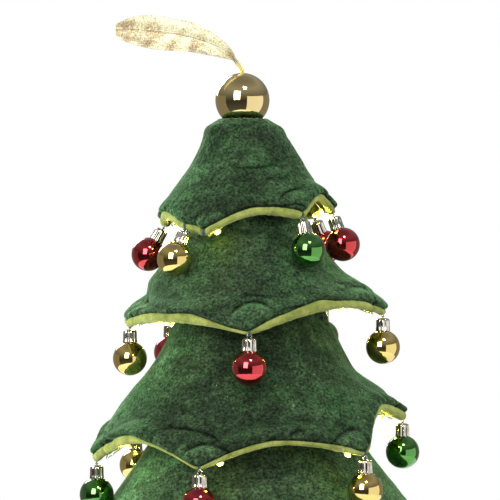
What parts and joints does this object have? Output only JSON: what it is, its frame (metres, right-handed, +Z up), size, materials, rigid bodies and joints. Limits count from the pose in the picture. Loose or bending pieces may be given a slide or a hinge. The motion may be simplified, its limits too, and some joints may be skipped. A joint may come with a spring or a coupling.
{
  "type": "fabric christmas tree",
  "caption": "Stuffed fabric Christmas tree with scalloped velvet tiers, lit hems, hanging mirror baubles, a mirror ball on top and a ribbon loop.",
  "frame": {"origin": "centre of the trunk's flat underside", "axes": "+Z up along the trunk, the pictured front faces -Y, +X to the right of that front"},
  "size_m": [0.2955, 0.306, 0.482],
  "materials": {
    "velvet_green": "crushed velvet",
    "lining_green": "soft felt",
    "stuffing_white": "fibre filling",
    "trunk_brown": "plush",
    "ball_red": "mirror plated",
    "ball_gold": "mirror plated",
    "ball_green": "mirror plated",
    "top_ball_gold": "mirror plated",
    "cap_silver": "metallised, with its thread",
    "ribbon_gold": "sheer organza",
    "box_plastic": "moulded",
    "cell_metal": "bright",
    "light_warm": "warm glowing drops on clear wire"
  },
  "bodies": {
    "tree": {"battery_case": "box_plastic", "coin_cell_1": "cell_metal", "coin_cell_2": "cell_metal", "hem_lining_1": "lining_green", "hem_lining_2": "lining_green", "hem_lining_3": "lining_green", "hem_lining_4": "lining_green", "light_string": "light_warm", "stuffed_core": "stuffing_white", "top_ball": "top_ball_gold", "trunk_cover": "trunk_brown", "velvet_tier_1": "velvet_green", "velvet_tier_2": "velvet_green", "velvet_tier_3": "velvet_green", "velvet_tier_4": "velvet_green"},
    "cover": {"battery_cover": "box_plastic"},
    "bauble_1a": {"bauble_ball_1a": "ball_red", "bauble_cap_1a": "cap_silver"},
    "bauble_1b": {"bauble_ball_1b": "ball_gold", "bauble_cap_1b": "cap_silver"},
    "bauble_1c": {"bauble_ball_1c": "ball_green", "bauble_cap_1c": "cap_silver"},
    "bauble_1d": {"bauble_ball_1d": "ball_red", "bauble_cap_1d": "cap_silver"},
    "bauble_1e": {"bauble_ball_1e": "ball_red", "bauble_cap_1e": "cap_silver"},
    "bauble_2a": {"bauble_ball_2a": "ball_gold", "bauble_cap_2a": "cap_silver"},
    "bauble_2b": {"bauble_ball_2b": "ball_red", "bauble_cap_2b": "cap_silver"},
    "bauble_2c": {"bauble_ball_2c": "ball_gold", "bauble_cap_2c": "cap_silver"},
    "bauble_2d": {"bauble_ball_2d": "ball_green", "bauble_cap_2d": "cap_silver"},
    "bauble_2e": {"bauble_ball_2e": "ball_red", "bauble_cap_2e": "cap_silver"},
    "bauble_3a": {"bauble_ball_3a": "ball_green", "bauble_cap_3a": "cap_silver"},
    "bauble_3b": {"bauble_ball_3b": "ball_red", "bauble_cap_3b": "cap_silver"},
    "bauble_3c": {"bauble_ball_3c": "ball_gold", "bauble_cap_3c": "cap_silver"},
    "bauble_3d": {"bauble_ball_3d": "ball_green", "bauble_cap_3d": "cap_silver"},
    "bauble_3e": {"bauble_ball_3e": "ball_red", "bauble_cap_3e": "cap_silver"},
    "bauble_3f": {"bauble_ball_3f": "ball_gold", "bauble_cap_3f": "cap_silver"},
    "bauble_4a": {"bauble_ball_4a": "ball_red", "bauble_cap_4a": "cap_silver"},
    "bauble_4b": {"bauble_ball_4b": "ball_gold", "bauble_cap_4b": "cap_silver"},
    "bauble_4c": {"bauble_ball_4c": "ball_green", "bauble_cap_4c": "cap_silver"},
    "bauble_4d": {"bauble_ball_4d": "ball_red", "bauble_cap_4d": "cap_silver"},
    "bauble_4e": {"bauble_ball_4e": "ball_gold", "bauble_cap_4e": "cap_silver"},
    "ribbon": {"ribbon_hanger": "ribbon_gold"},
    "slider": {"switch_slider": "box_plastic"}
  },
  "joints": [
    {"name": "bauble_1a_swing", "type": "hinge", "parent": "tree", "child": "bauble_1a", "pos_m": [-0.07146, 0.00764, 0.32672], "axis": [0.1219, 0.9925, 0], "range_deg": [0, 30]},
    {"name": "bauble_1b_swing", "type": "hinge", "parent": "tree", "child": "bauble_1b", "pos_m": [-0.05412, -0.0482, 0.32418], "axis": [-0.7314, 0.682, 0], "range_deg": [0, 33]},
    {"name": "bauble_1c_swing", "type": "hinge", "parent": "tree", "child": "bauble_1c", "pos_m": [0.03011, -0.0535, 0.33192], "axis": [-0.8039, -0.5948, 0], "range_deg": [0, 43]},
    {"name": "bauble_1d_swing", "type": "hinge", "parent": "tree", "child": "bauble_1d", "pos_m": [0.05351, -0.00442, 0.33594], "axis": [-0.0698, -0.9976, 0], "range_deg": [0, 41]},
    {"name": "bauble_1e_swing", "type": "hinge", "parent": "tree", "child": "bauble_1e", "pos_m": [0.04179, 0.03594, 0.33319], "axis": [0.5736, -0.8192, 0], "range_deg": [0, 35]},
    {"name": "bauble_2a_swing", "type": "hinge", "parent": "tree", "child": "bauble_2a", "pos_m": [-0.09555, -0.0078, 0.25339], "axis": [-0.0872, 0.9962, 0], "range_deg": [-10, 60]},
    {"name": "bauble_2b_swing", "type": "hinge", "parent": "tree", "child": "bauble_2b", "pos_m": [-0.00792, -0.09434, 0.25082], "axis": [-0.9998, 0.0175, 0], "range_deg": [-12, 60]},
    {"name": "bauble_2c_swing", "type": "hinge", "parent": "tree", "child": "bauble_2c", "pos_m": [0.09017, -0.00848, 0.2618], "axis": [-0.0872, -0.9962, 0], "range_deg": [-12, 60]},
    {"name": "bauble_2d_swing", "type": "hinge", "parent": "tree", "child": "bauble_2d", "pos_m": [0.04858, 0.07633, 0.2662], "axis": [0.809, -0.5878, 0], "range_deg": [-12, 60]},
    {"name": "bauble_2e_swing", "type": "hinge", "parent": "tree", "child": "bauble_2e", "pos_m": [-0.06879, 0.06688, 0.25448], "axis": [0.7314, 0.682, 0], "range_deg": [-12, 60]},
    {"name": "bauble_3a_swing", "type": "hinge", "parent": "tree", "child": "bauble_3a", "pos_m": [-0.11933, -0.01642, 0.15452], "axis": [-0.1392, 0.9903, 0], "range_deg": [0, 60]},
    {"name": "bauble_3b_swing", "type": "hinge", "parent": "tree", "child": "bauble_3b", "pos_m": [-0.04216, -0.10867, 0.15793], "axis": [-0.9397, 0.342, 0], "range_deg": [0, 58]},
    {"name": "bauble_3c_swing", "type": "hinge", "parent": "tree", "child": "bauble_3c", "pos_m": [0.07297, -0.08728, 0.16561], "axis": [-0.7547, -0.6561, 0], "range_deg": [-4, 60]},
    {"name": "bauble_3d_swing", "type": "hinge", "parent": "tree", "child": "bauble_3d", "pos_m": [0.10627, 0.01544, 0.18264], "axis": [0.1392, -0.9903, 0], "range_deg": [-12, 60]},
    {"name": "bauble_3e_swing", "type": "hinge", "parent": "tree", "child": "bauble_3e", "pos_m": [0.03922, 0.10504, 0.17341], "axis": [0.9272, -0.3746, 0], "range_deg": [-12, 60]},
    {"name": "bauble_3f_swing", "type": "hinge", "parent": "tree", "child": "bauble_3f", "pos_m": [-0.09534, 0.0696, 0.16751], "axis": [0.6018, 0.7986, 0], "range_deg": [-12, 60]},
    {"name": "bauble_4a_swing", "type": "hinge", "parent": "tree", "child": "bauble_4a", "pos_m": [-0.13781, -0.05016, 0.05212], "axis": [-0.342, 0.9397, 0], "range_deg": [-12, 60]},
    {"name": "bauble_4b_swing", "type": "hinge", "parent": "tree", "child": "bauble_4b", "pos_m": [-0.02041, -0.14522, 0.05312], "axis": [-0.9903, 0.1392, 0], "range_deg": [-12, 60]},
    {"name": "bauble_4c_swing", "type": "hinge", "parent": "tree", "child": "bauble_4c", "pos_m": [0.12013, -0.08411, 0.05412], "axis": [-0.5736, -0.8192, 0], "range_deg": [-12, 60]},
    {"name": "bauble_4d_swing", "type": "hinge", "parent": "tree", "child": "bauble_4d", "pos_m": [0.13291, 0.06198, 0.05492], "axis": [0.4226, -0.9063, 0], "range_deg": [-12, 60]},
    {"name": "bauble_4e_swing", "type": "hinge", "parent": "tree", "child": "bauble_4e", "pos_m": [-0.11234, 0.09427, 0.05212], "axis": [0.6428, 0.766, 0], "range_deg": [-12, 60]},
    {"name": "ribbon_lift", "type": "hinge", "parent": "tree", "child": "ribbon", "pos_m": [-0.01298, 0, 0.4408], "axis": [0, 1, 0], "range_deg": [-20, 70]},
    {"name": "cover_hinge", "type": "hinge", "parent": "tree", "child": "cover", "pos_m": [-0.0198, 0.01658, 0.0016], "axis": [0, 1, 0], "range_deg": [0, 100]},
    {"name": "switch_slide", "type": "slide", "parent": "tree", "child": "slider", "axis": [1, 0, 0], "range_m": [0, 0.003]}
  ]
}
